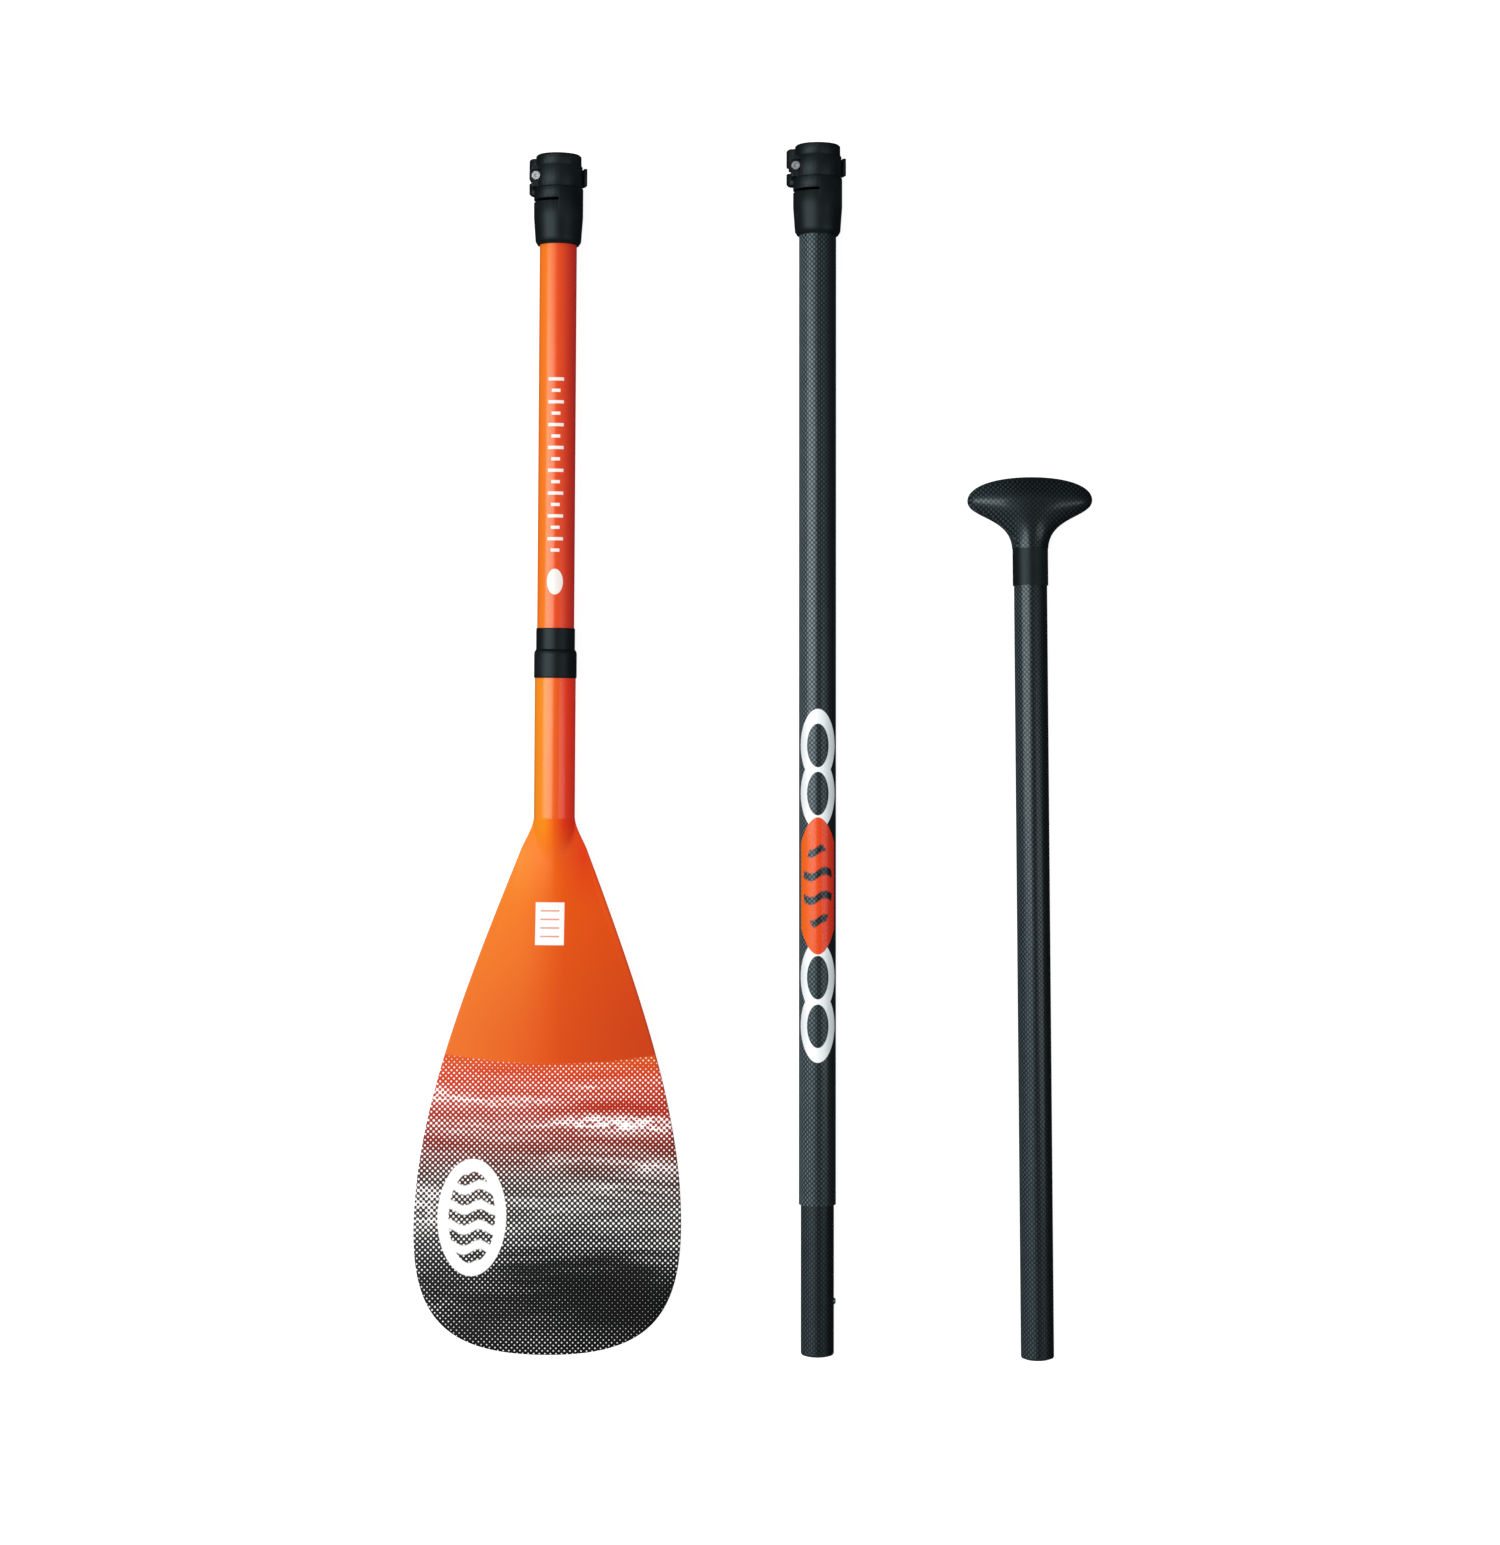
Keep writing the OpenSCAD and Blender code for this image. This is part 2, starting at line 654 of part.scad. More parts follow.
blade_front_skin();
blade_back_skin();
blade_core();
edge_rail();
blade_neck();
neck_sleeve();
lower_tube();
lower_bung();
lower_collar();
lower_band();
lower_bolt();
lower_barrel();
lower_saddle();
lower_lever();
middle_tube();
middle_bung();
ferrule();
ferrule_plug();
snap_button();
snap_spring();
upper_collar();
upper_band();
upper_bolt();
upper_barrel();
upper_saddle();
upper_lever();
handle_tube();
handle_plug();
palm_grip();
grip_core();
grip_cuff();
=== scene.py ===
"""Looks for a three-piece single blade paddle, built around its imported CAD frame.

Each section has its own axes: x to the right, y up, z down the shaft from its mouth or crown.
"""
import json
import math

import bpy
import numpy as np
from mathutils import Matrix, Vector

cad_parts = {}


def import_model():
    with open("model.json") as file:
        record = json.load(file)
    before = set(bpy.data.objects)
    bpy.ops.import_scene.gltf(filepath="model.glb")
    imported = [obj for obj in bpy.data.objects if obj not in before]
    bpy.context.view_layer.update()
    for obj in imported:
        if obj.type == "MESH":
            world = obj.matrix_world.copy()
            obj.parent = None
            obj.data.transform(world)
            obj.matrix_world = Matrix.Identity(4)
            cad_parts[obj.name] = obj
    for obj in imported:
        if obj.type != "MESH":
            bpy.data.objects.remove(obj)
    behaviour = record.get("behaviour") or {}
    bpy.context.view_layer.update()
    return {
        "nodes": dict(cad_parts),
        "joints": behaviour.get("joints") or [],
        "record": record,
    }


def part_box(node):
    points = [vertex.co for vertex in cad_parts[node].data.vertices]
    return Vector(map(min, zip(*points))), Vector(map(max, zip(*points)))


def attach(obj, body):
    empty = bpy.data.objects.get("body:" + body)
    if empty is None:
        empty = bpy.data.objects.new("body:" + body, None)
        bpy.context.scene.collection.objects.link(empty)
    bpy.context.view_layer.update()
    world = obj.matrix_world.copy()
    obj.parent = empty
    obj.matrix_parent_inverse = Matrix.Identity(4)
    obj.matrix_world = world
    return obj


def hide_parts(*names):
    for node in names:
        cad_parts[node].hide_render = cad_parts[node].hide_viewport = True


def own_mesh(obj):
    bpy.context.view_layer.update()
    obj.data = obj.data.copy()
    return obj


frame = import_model()
record = frame["record"]
nodes = frame["nodes"]


# ---------------------------------------------------------------- section axes
class Section:
    """Axes of one shaft: `point` lies on its axis, `at` metres down from its mouth or crown."""

    def __init__(self, point, down, at):
        self.z = Vector(down).normalized()
        self.x = Vector((-self.z.y, self.z.x, 0)).normalized()
        self.y = self.z.cross(self.x)
        self.origin = Vector(point) - self.z * at

    def world(self, pts):
        """Section points, an n by 3 array in metres, as points of the shared frame."""
        axes = np.array([self.x, self.y, self.z])
        return np.asarray(pts, float) @ axes + np.array(self.origin)


mounts = {m["name"]: m for m in record["mounts"]}
joints = {j["name"]: j for j in frame["joints"]}
SOCKET_MID = 0.018


def from_mount(name):
    m = mounts[name]
    return Section(m["pos_m"], -Vector(m["axis"]), SOCKET_MID)


blade = from_mount("lower_socket")
middle = from_mount("upper_socket")
HANDLE_TUBE = (0.024, 0.690)
tube_lo, tube_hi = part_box("handle_tube")
handle = Section(
    (tube_lo + tube_hi) / 2,
    -Vector(joints["handle_section_slide"]["axis"]),
    sum(HANDLE_TUBE) / 2,
)


# ---------------------------------------------------------------- shader sums
def plug(tree, socket, value):
    if isinstance(value, Num):
        tree.links.new(value.out, socket)
    elif isinstance(value, bpy.types.NodeSocket):
        tree.links.new(value, socket)
    else:
        if socket.type == "RGBA" and len(value) == 3:
            value = (*value, 1)
        socket.default_value = value


class Num:
    """A number in a node tree that takes part in plain sums."""

    def __init__(self, tree, out):
        self.tree, self.out = tree, out

    def op(self, kind, *others):
        n = self.tree.nodes.new("ShaderNodeMath")
        n.operation = kind
        for socket, value in zip(n.inputs, (self, *others)):
            plug(self.tree, socket, value)
        return Num(self.tree, n.outputs[0])

    def __add__(self, o):
        return self.op("ADD", o)

    def __sub__(self, o):
        return self.op("SUBTRACT", o)

    def __rsub__(self, o):
        return self * -1 + o

    def __mul__(self, o):
        return self.op("MULTIPLY", o)

    def __truediv__(self, o):
        return self.op("DIVIDE", o)

    def step(self, low, high):
        """0 below low, 1 above high, smooth between. low may be above high."""
        n = self.tree.nodes.new("ShaderNodeMapRange")
        n.interpolation_type = "SMOOTHSTEP"
        flip = low > high
        plug(self.tree, n.inputs["Value"], self)
        n.inputs["From Min"].default_value = high if flip else low
        n.inputs["From Max"].default_value = low if flip else high
        n.inputs["To Min"].default_value = 1 if flip else 0
        n.inputs["To Max"].default_value = 0 if flip else 1
        return Num(self.tree, n.outputs["Result"])

    def band(self, low, high, soft):
        """1 between low and high."""
        return self.step(low - soft, low + soft) * self.step(high + soft, high - soft)

    def at_most(self, o):
        return self.op("MINIMUM", o)

    def at_least(self, o):
        return self.op("MAXIMUM", o)

    def sq(self):
        return self * self


def rgb(r, g, b):
    """A screen colour, 0 to 255 a channel, as the linear colour that shaders take."""
    return tuple(
        c / 12.92 if c <= 0.04045 else ((c + 0.055) / 1.055) ** 2.4
        for c in (r / 255, g / 255, b / 255)
    )


WEAR_SCALE = 13


class Paint:
    """One material: its tree, coordinates and Principled shader."""

    def __init__(self, name, section=None, **sockets):
        self.mat = bpy.data.materials.new(name)
        self.mat.use_nodes = True
        self.tree = self.mat.node_tree
        self.bsdf = self.tree.nodes["Principled BSDF"]
        self.coord = self.tree.nodes.new("ShaderNodeTexCoord")
        self.section = section
        for key, value in sockets.items():
            self.set(key.replace("_", " "), value)

    def set(self, socket, value):
        plug(self.tree, self.bsdf.inputs[socket], value)

    def vec(self, kind, a, b):
        n = self.tree.nodes.new("ShaderNodeVectorMath")
        n.operation = kind
        plug(self.tree, n.inputs[0], a)
        plug(self.tree, n.inputs[1], b)
        return n.outputs["Value" if kind == "DOT_PRODUCT" else "Vector"]

    def xyz(self):
        """Section coordinates of the surface point, in metres."""
        s = self.section
        p = self.vec("SUBTRACT", self.coord.outputs["Object"], tuple(s.origin))
        return [
            Num(self.tree, self.vec("DOT_PRODUCT", p, tuple(a)))
            for a in (s.x, s.y, s.z)
        ]

    def facing(self, axis=None):
        """How far the surface faces the section's right, or another of its axes, -1 to 1."""
        n = self.coord.outputs["Normal"]
        return Num(self.tree, self.vec("DOT_PRODUCT", n, tuple(axis or self.section.x)))

    def join(self, x, y, z=0):
        n = self.tree.nodes.new("ShaderNodeCombineXYZ")
        for socket, value in zip(n.inputs, (x, y, z)):
            plug(self.tree, socket, value)
        return n.outputs[0]

    def noise(self, scale, detail=3, rough=0.55, at=None, seed=0.0):
        n = self.tree.nodes.new("ShaderNodeTexNoise")
        n.noise_dimensions = "4D"
        n.inputs["W"].default_value = seed
        plug(self.tree, n.inputs["Vector"], at or self.coord.outputs["Object"])
        n.inputs["Scale"].default_value = scale
        n.inputs["Detail"].default_value = detail
        n.inputs["Roughness"].default_value = rough
        return Num(self.tree, n.outputs["Fac"])

    def ramp(self, t, stops):
        n = self.tree.nodes.new("ShaderNodeValToRGB")
        plug(self.tree, n.inputs[0], t)
        e = n.color_ramp.elements
        e[0].position, e[1].position = stops[0][0], stops[-1][0]
        e[0].color, e[1].color = (*stops[0][1], 1), (*stops[-1][1], 1)
        for pos, col in stops[1:-1]:
            e.new(pos).color = (*col, 1)
        return n.outputs["Color"]

    def curve(self, t, stops):
        """A number that runs through (position, value) stops."""
        return Num(self.tree, self.ramp(t, [(p, (v, v, v)) for p, v in stops]))

    def mix(self, fac, a, b, kind="MIX"):
        n = self.tree.nodes.new("ShaderNodeMix")
        n.data_type, n.blend_type = "RGBA", kind
        plug(self.tree, n.inputs[0], fac)
        plug(self.tree, n.inputs[6], a)
        plug(self.tree, n.inputs[7], b)
        return n.outputs[2]

    def bump(self, height, distance, strength):
        n = self.tree.nodes.new("ShaderNodeBump")
        n.inputs["Strength"].default_value = strength
        n.inputs["Distance"].default_value = distance
        plug(self.tree, n.inputs["Height"], height)
        self.set("Normal", n.outputs[0])

    def wear(self, color, amount=0.12):
        """Slow tone changes over a colour, so that no part of it is quite even."""
        n = self.noise(WEAR_SCALE, 4, seed=3.0) * amount + (1 - amount / 2)
        return self.mix(1.0, color, self.join(n, n, n), "MULTIPLY")


def weave(u, v, tow):
    """Plain woven tows along u and v. Returns (which way the top tow runs, its rounded height)."""
    a, b = u / tow, v / tow
    cells = a.op("FLOOR") + b.op("FLOOR")
    over = cells.op("FLOORED_MODULO", 2).op("LESS_THAN", 0.5)
    across = a.op("FRACT") * over + b.op("FRACT") * (1 - over)
    crown = (across * math.pi).op("SINE")
    return over, crown


def oval(u, v, half_u, half_v, soft):
    """1 inside an upright oval round the origin of (u, v)."""
    r = ((u / half_u).sq() + (v / half_v).sq()).op("SQRT")
    return r.step(1 + soft, 1 - soft)


def within(u, half, soft):
    """1 where u is less than `half` from 0, on either side."""
    return (u.op("ABSOLUTE") - half).step(soft, -soft)


def waves(u, v, pitch, swing, period, share):
    """1 on wavy bars that run along u, one every `pitch` along v."""
    t = (v + (u * (2 * math.pi / period)).op("SINE") * swing) / pitch
    d = (t.op("FRACT") - 0.5).op("ABSOLUTE")
    return d.step(share / 2 + 0.06, share / 2 - 0.06)


# ---------------------------------------------------------------- carbon, plastic, metal
COOL = (0.72, 0.95, 1.0, 1.0)
TOW = 0.0019
TUBE_R, INNER_R = 0.0145, 0.0130
LACQUER = dict(Coat_Weight=0.10, Coat_Roughness=0.12, Specular_IOR_Level=0.28, Specular_Tint=COOL)
SQUARE_ON = 0.78
# painted shade round the carbon: its colour by which way the surface faces, light on the left and
# dark on the right
PAINTED_SHADE_ROUND = [(0.0, 1.0), (0.35, 0.76), (0.5, 0.28), (0.64, 0.34), (0.85, 0.12), (1.0, 0.09)]


def carbon(name, section, radius, glow):
    """Woven carbon under lacquer: round a tube, or without a radius laid over the grip's faces.

    Its colour falls from the section's left to its right, a painted shade that stays under any
    light.
    """
    p = Paint(name, section, **LACQUER)
    x, y, z = p.xyz()
    if radius:
        u, v = x.op("ARCTAN2", y) * radius, z
    else:
        end = p.facing().op("ABSOLUTE").op("GREATER_THAN", SQUARE_ON)
        top = p.facing(section.z).op("ABSOLUTE").op("GREATER_THAN", SQUARE_ON)
        u, v = x + (y - x) * end, z + (y - z) * top
    over, crown = weave(u, v, TOW)
    tone = (over * 0.85 + 0.15) * (crown * 0.8 + 0.2)
    tone = tone * (p.noise(90, 2, seed=5.0) * 0.5 + 0.75)
    # painted shade: the base colour darkens towards the section's right
    side = p.curve(p.facing() * 0.5 + 0.5, PAINTED_SHADE_ROUND)
    base = p.mix(tone * side * glow, rgb(4, 6, 7), rgb(104, 122, 129))
    p.set("Roughness", over * -0.16 + p.noise(400, 2) * 0.08 + 0.38)
    p.bump(crown, 0.00006, 0.5)
    return p, base, (x, y, z)


def plastic(name, seed):
    """Moulded glass-filled nylon: fine grain, faint flow marks and rubbed patches."""
    p = Paint(name, None, Specular_IOR_Level=0.32, Specular_Tint=COOL)
    grain = p.noise(2600, 3, 0.6, seed=seed)
    flow = p.noise(45, 4, seed=seed + 1)
    base = p.mix(flow.step(0.35, 0.7), rgb(11, 15, 17), rgb(20, 26, 29))
    rub = p.noise(160, 5, 0.7, seed=seed + 2).step(0.62, 0.74)
    p.set("Base Color", p.mix(rub * 0.4, base, rgb(46, 56, 59)))
    p.set("Roughness", grain * 0.14 + flow * 0.12 + 0.34)
    p.bump(grain, 0.00006, 0.5)
    return p.mat


def steel():
    p = Paint("steel_turned", None, Metallic=1.0)
    c = p.coord.outputs["Object"]
    stretch = p.vec("MULTIPLY", c, (260.0, 1500.0, 260.0))
    lines = p.noise(1.0, 3, 0.6, at=stretch, seed=2.0)
    spots = p.noise(500, 4, seed=7.0).step(0.62, 0.75)
    p.set("Base Color", p.mix(spots * 0.35, rgb(206, 209, 213), rgb(150, 148, 145)))
    p.set("Roughness", lines * 0.16 + spots * 0.2 + 0.30)
    p.bump(lines, 0.00001, 0.3)
    return p.mat


def foam():
    p = Paint("closed_cell_foam", None, Roughness=0.9)
    n = p.tree.nodes.new("ShaderNodeTexVoronoi")
    n.inputs["Scale"].default_value = 900
    plug(p.tree, n.inputs["Vector"], p.coord.outputs["Object"])
    cell = Num(p.tree, n.outputs["Distance"])
    p.set("Base Color", p.wear(p.mix(cell, rgb(232, 226, 205), rgb(198, 190, 165))))
    p.bump(cell, 0.0003, 0.7)
    return p.mat


def rubber():
    p = Paint("rubber_black", None, Specular_IOR_Level=0.3)
    grain = p.noise(1500, 4, 0.65, seed=11.0)
    p.set("Base Color", p.mix(grain.step(0.3, 0.75), rgb(24, 27, 28), rgb(48, 53, 54)))
    p.set("Roughness", grain * 0.25 + 0.55)
    p.bump(grain, 0.0001, 0.6)
    return p.mat


# ---------------------------------------------------------------- painted parts
GLOSS = dict(Coat_Weight=0.22, Coat_Roughness=0.14, Specular_IOR_Level=0.22)
SATIN = dict(Specular_IOR_Level=0.08)


def scuffed(p, low):
    """Roughness with faint hairlines, and a trace of orange peel in the lacquer."""
    c = p.coord.outputs["Object"]
    hair = p.noise(1.0, 2, 0.7, at=p.vec("MULTIPLY", c, (1400.0, 90.0, 300.0)), seed=9.0)
    peel = p.noise(700, 2, seed=4.0)
    p.set("Roughness", hair.step(0.6, 0.75) * 0.16 + p.noise(30, 3) * 0.1 + low)
    p.bump(peel, 0.00004, 0.35)


# round the neck, by which way the surface faces: yellow-orange on the left to red on the right,
# partly the paint's fade and partly painted shade
NECK_FADE_AND_SHADE = [
    (0.0, rgb(243, 140, 22)), (0.3, rgb(242, 136, 22)), (0.52, rgb(238, 98, 18)),
    (0.75, rgb(240, 60, 20)), (1.0, rgb(248, 42, 22)),
]


def shaft_paint():
    """Orange lacquer, with a plain row of bars and one oval. Round the tube and neck it runs from
    yellow-orange on the left to red on the right: partly the paint's fade, partly painted shade.
    """
    p = Paint("shaft_orange", blade, **GLOSS)
    x, y, z = p.xyz()
    # painted shade along with the paint's fade: the colour darkens and reddens towards the tube's
    # right
    side = p.facing() * 0.5 + 0.5
    tube = p.ramp(side, [
        (0.0, rgb(242, 118, 18)), (0.28, rgb(242, 120, 24)), (0.5, rgb(232, 80, 24)),
        (0.68, rgb(228, 66, 26)), (1.0, rgb(214, 40, 30)),
    ])
    neck = p.ramp(side, NECK_FADE_AND_SHADE)
    base = p.mix(z.step(0.385, 0.415), tube, neck)
    base = p.wear(base, 0.07)
    front = y.step(0.0, 0.003)
    pitch, first, last = 0.00887, 0.171, 0.313
    t = (z - first) / pitch
    bar = (t.op("FRACT") - 0.5).op("ABSOLUTE").step(0.17, 0.11)
    odd = t.op("FLOOR").op("FLOORED_MODULO", 2).op("GREATER_THAN", 0.5)
    half = odd * -0.0026 + 0.0060
    wide = within(x, half, 0.0002)
    marks = bar * wide * z.band(first, last, 0.0001)
    spot = oval(x, z - 0.333, 0.0062, 0.0100, 0.03)
    p.set("Base Color", p.mix(marks.at_least(spot) * front, base, rgb(246, 240, 234)))
    scuffed(p, 0.26)
    return p.mat


THROAT = 0.5176
PRINT_FROM = 0.190
DOT_PITCH = 0.0030
CRISP = 0.0003
WHITE = rgb(250, 249, 247)
# streaks of the print: place across and down the blade, half length, half thickness, strength
LIGHT_STREAKS = (
    (0.052, 0.236, 0.042, 0.0052, 0.74), (0.086, 0.231, 0.016, 0.0036, 0.26),
    (-0.030, 0.217, 0.050, 0.0032, 0.26), (-0.084, 0.215, 0.022, 0.0055, 0.26),
    (0.028, 0.208, 0.030, 0.0020, 0.20), (-0.070, 0.238, 0.036, 0.0045, 0.16),
    (0.018, 0.264, 0.036, 0.0030, 0.24), (0.082, 0.268, 0.026, 0.0045, 0.24),
    (-0.096, 0.300, 0.016, 0.0170, 0.26), (0.070, 0.285, 0.050, 0.0026, 0.14),
    (-0.086, 0.374, 0.020, 0.0130, 0.18), (-0.010, 0.292, 0.040, 0.0026, 0.10),
)
DARK_STREAKS = (
    (0.060, 0.222, 0.050, 0.0045, 0.26), (0.000, 0.252, 0.060, 0.0040, 0.10),
    (0.062, 0.360, 0.046, 0.0280, 0.16), (-0.020, 0.345, 0.045, 0.0180, 0.06),
)


def orange_fade_and_shade(p, x, v):
    """Orange lacquer over the upper blade, and like the neck at the throat. Paler on its left and
    redder on its right, with a step at the middle ridge: painted light and shade.
    """
    # painted light and shade across the blade: paler left of the ridge, redder right of it
    across = x / 0.22 + 0.5
    high = p.ramp(across, [
        (0.18, rgb(241, 134, 44)), (0.40, rgb(239, 124, 32)), (0.48, rgb(235, 104, 20)),
        (0.54, rgb(232, 88, 16)), (0.8, rgb(230, 78, 20)),
    ])
    low = p.ramp(across, [
        (0.1, rgb(234, 116, 38)), (0.35, rgb(228, 98, 24)), (0.48, rgb(222, 84, 18)),
        (0.54, rgb(216, 76, 18)), (0.9, rgb(200, 62, 22)),
    ])
    # painted light at the throat: paler on the neck's left flare, red on its right
    throat = p.ramp(across, [
        (0.38, rgb(242, 138, 44)), (0.47, rgb(239, 118, 28)), (0.51, rgb(237, 96, 20)),
        (0.60, rgb(232, 62, 20)),
    ])
    paint = p.mix(v.step(0.03, 0.19), high, low)
    paint = p.mix(v.step(0.075, 0.02), paint, throat)
    neck = p.ramp(p.facing() * 0.5 + 0.5, NECK_FADE_AND_SHADE)
    return p.wear(p.mix(v.step(0.030, 0.000), paint, neck), 0.06)


def streak(x, v, x0, v0, long, thick):
    """A soft oval: 1 at its middle, and fading to 0 all round."""
    far = ((x - x0) / long).sq() + ((v - v0) / thick).sq()
    return (far * -1).op("EXPONENT")


def halftone(p, x, v):
    """White dots on a ground colour: a sky with streaks of cloud, over sea that runs to black."""
    hill = ((x - 0.015) / 0.070).sq().at_most(1.0) * 0.016 - 0.005
    t = (v - hill * v.step(0.27, 0.33) - 0.18) / 0.24
    ground = p.ramp(t, [
        (0.0, rgb(224, 92, 26)), (0.07, rgb(212, 66, 24)), (0.15, rgb(190, 50, 28)),
        (0.25, rgb(152, 38, 26)), (0.33, rgb(112, 38, 30)), (0.40, rgb(70, 42, 38)),
        (0.48, rgb(52, 46, 46)), (0.56, rgb(40, 40, 41)), (0.65, rgb(24, 25, 26)),
        (0.75, rgb(14, 15, 16)), (1.0, rgb(20, 21, 22)),
    ])
    # share of white: down the blade, then clouds and long streaks
    cover = p.curve(t, [
        (0.0, 0.10), (0.05, 0.15), (0.10, 0.25), (0.16, 0.32), (0.30, 0.29), (0.42, 0.31),
        (0.52, 0.34), (0.60, 0.25), (0.67, 0.15), (0.76, 0.07), (0.84, 0.08), (1.0, 0.18),
    ])
    ragged = p.noise(1.0, 3, 0.6, at=p.join(x * 60, v * 160), seed=15.0) - 0.5
    swell = v + (x * 40).op("SINE") * 0.0018 + ragged * 0.0045
    cloud = p.noise(1.0, 4, 0.6, at=p.join(x * 16, swell * 130), seed=1.0) - 0.5
    wisp = p.noise(1.0, 5, 0.75, at=p.join(x * 75, swell * 330), seed=6.0).step(0.40, 0.62)
    sky = v.step(0.40, 0.32)
    cover = cover + cloud * (sky * 0.55 + 0.12)
    for *place, amount in LIGHT_STREAKS:
        cover = cover + streak(x, swell, *place) * (wisp * 1.1 + 0.05) * amount
    for *place, amount in DARK_STREAKS:
        cover = cover - streak(x, swell, *place) * amount
    turn = 2 * math.pi / (DOT_PITCH * math.sqrt(2))
    net = (((x + v) * turn).op("COSINE") + ((x - v) * turn).op("COSINE")) * 0.25 + 0.5
    limit = 1.0 - cover.at_least(0.02) * 1.06
    return p.mix((net - limit).step(-0.07, 0.07), ground, WHITE)


def front_marks(p, x, v, color):
    """A plain ruled badge, and a ring round wavy bars."""
    bu, bv = x + 0.0020, v - 0.082
    badge = within(bu, 0.0112, CRISP) * within(bv, 0.0165, CRISP)
    lines = (bv / 0.0066).op("FRACT").band(0.40, 0.58, 0.04)
    lines = lines * within(bu, 0.0074, CRISP) * within(bv, 0.0125, CRISP)
    color = p.mix(badge * (1 - lines * 0.75), color, WHITE)
    mu, mv = x + 0.058, v - 0.306
    outer = oval(mu, mv, 0.0265, 0.0440, 0.012)
    inner = oval(mu, mv, 0.0180, 0.0345, 0.016)
    bars = waves(mu, mv, 0.0150, 0.0022, 0.024, 0.46)
    return p.mix(outer * (1 - inner * (1 - bars)), color, WHITE)


def bare_side(p, v, color):
    """The rail's face carries the print; its side is bare, darker and chipped."""
    flat = p.facing(blade.y).op("ABSOLUTE")
    chip = p.noise(420, 5, 0.7, seed=13.0).step(0.66, 0.72)
    bare = p.mix(v.step(0.16, 0.24), rgb(206, 78, 24), rgb(26, 28, 30))
    bare = p.mix(chip * 0.45, bare, rgb(120, 104, 96))
    return p.mix(flat.step(0.35, 0.6), bare, color)


def blade_paint(name, part):
    """Orange over the upper blade and the print below it, on its front, rear or rim."""
    p = Paint(name, blade, **SATIN)
    x, _, z = p.xyz()
    v = z - THROAT
    edge = v + (x / 0.085).sq() * 0.0075
    printed = edge.step(PRINT_FROM - 0.0012, PRINT_FROM + 0.0004)
    color = p.mix(printed, orange_fade_and_shade(p, x, v), halftone(p, x, v))
    if part == "front":
        color = front_marks(p, x, v, color)
    if part == "rim":
        color = bare_side(p, v, color)
    p.set("Base Color", color)
    scuffed(p, 0.30)
    return p.mat


RINGS_AT = (0.4685, 0.5060, 0.6495, 0.6875)
LONG_OVAL_AT = 0.578


def middle_shaft():
    """Carbon tube with a plain chain of rings and a long oval on its front, the marks carrying
    painted light and shade.
    """
    p, base, (x, y, z) = carbon("middle_carbon", middle, TUBE_R, 1.0)
    front = y.step(0.0, 0.002)
    # painted highlight and shade on the white rings: brightest a third across from the left, greyer
    # at the edges
    white = p.ramp(p.facing() * 0.5 + 0.5, [
        (0.05, rgb(226, 232, 234)), (0.35, rgb(255, 255, 255)), (0.85, rgb(222, 232, 234)),
    ])
    # painted shade on the orange bars: darker and redder towards the tube's right
    orange = p.ramp(p.facing() * 0.5 + 0.5, [
        (0.0, rgb(238, 104, 4)), (0.35, rgb(238, 88, 2)), (0.6, rgb(232, 64, 4)),
        (1.0, rgb(206, 30, 20)),
    ])
    outer = inner = None
    for at in RINGS_AT:
        o = oval(x, z - at, 0.0132, 0.0285, 0.010)
        i = oval(x, z - at, 0.0084, 0.0170, 0.016)
        outer = o if outer is None else outer.at_least(o)
        inner = i if inner is None else inner.at_least(i)
    color = p.mix(outer * (1 - inner) * front, base, white)
    down = z - LONG_OVAL_AT
    body = oval(x, down, 0.0165, 0.0535, 0.006) * within(x, 0.0128, 0.0002)
    bars = waves(x, down, 0.0185, 0.0026, 0.022, 0.34) * oval(x, down, 0.0112, 0.034, 0.02)
    color = p.mix(body * front, color, p.mix(bars, orange, base))
    p.set("Base Color", color)
    return p.mat


def plain_carbon(name, section, radius, glow):
    p, base, _ = carbon(name, section, radius, glow)
    p.set("Base Color", base)
    return p.mat


# ---------------------------------------------------------------- meshes
# Shapes are worked out in millimetres, and placed in metres.
def add_mesh(name, pts, faces, mat, sharp):
    """A smooth piece from points in metres, with its edges sharp past `sharp` degrees."""
    me = bpy.data.meshes.new(name)
    me.from_pydata([tuple(q) for q in pts], [], faces)
    me.update()
    me.polygons.foreach_set("use_smooth", [True] * len(me.polygons))
    me.set_sharp_from_angle(angle=math.radians(sharp))
    me.materials.append(mat)
    ob = bpy.data.objects.new(name, me)
    bpy.context.scene.collection.objects.link(ob)
    return ob


def bez(p, t):
    """The point at share t of a curve with four handles."""
    p = np.array(p)
    c = 1 - t
    return c**3 * p[0] + 3 * c * c * t * p[1] + 3 * c * t * t * p[2] + t**3 * p[3]


NECK_R, LENGTH, HALF_W, FLARE = 16.0, 408.6, 102.98, 0.39
SHOULDER = [[0, NECK_R], [9, NECK_R + 1], [17, 26 - 8 * FLARE], [25, 26]]
SIDE = [[25, 26], [142, 26 + 117 * FLARE], [230, HALF_W], [313, HALF_W]]
END = [[313, HALF_W], [382, HALF_W], [LENGTH, 76], [LENGTH, 0]]
RAIL_W, EDGE, SKIN = 4.5, 1.9, 1.1
RAIL_START, RAIL_RUN = 11.0, 48.0
BEND, BEND_RUN = math.tan(math.radians(10)), 60
FRONT_RIDGE, BACK_RIDGE = 5.5, 1.6
CREST = 0.4


def outline(s):
    """The blade's edge as (distance from the throat, half width), from s = 0 to the tip at 1."""
    if s < 0.1:
        return bez(SHOULDER, s / 0.1)
    if s < 0.55:
        return bez(SIDE, (s - 0.1) / 0.45)
    return bez(END, (s - 0.55) / 0.45)


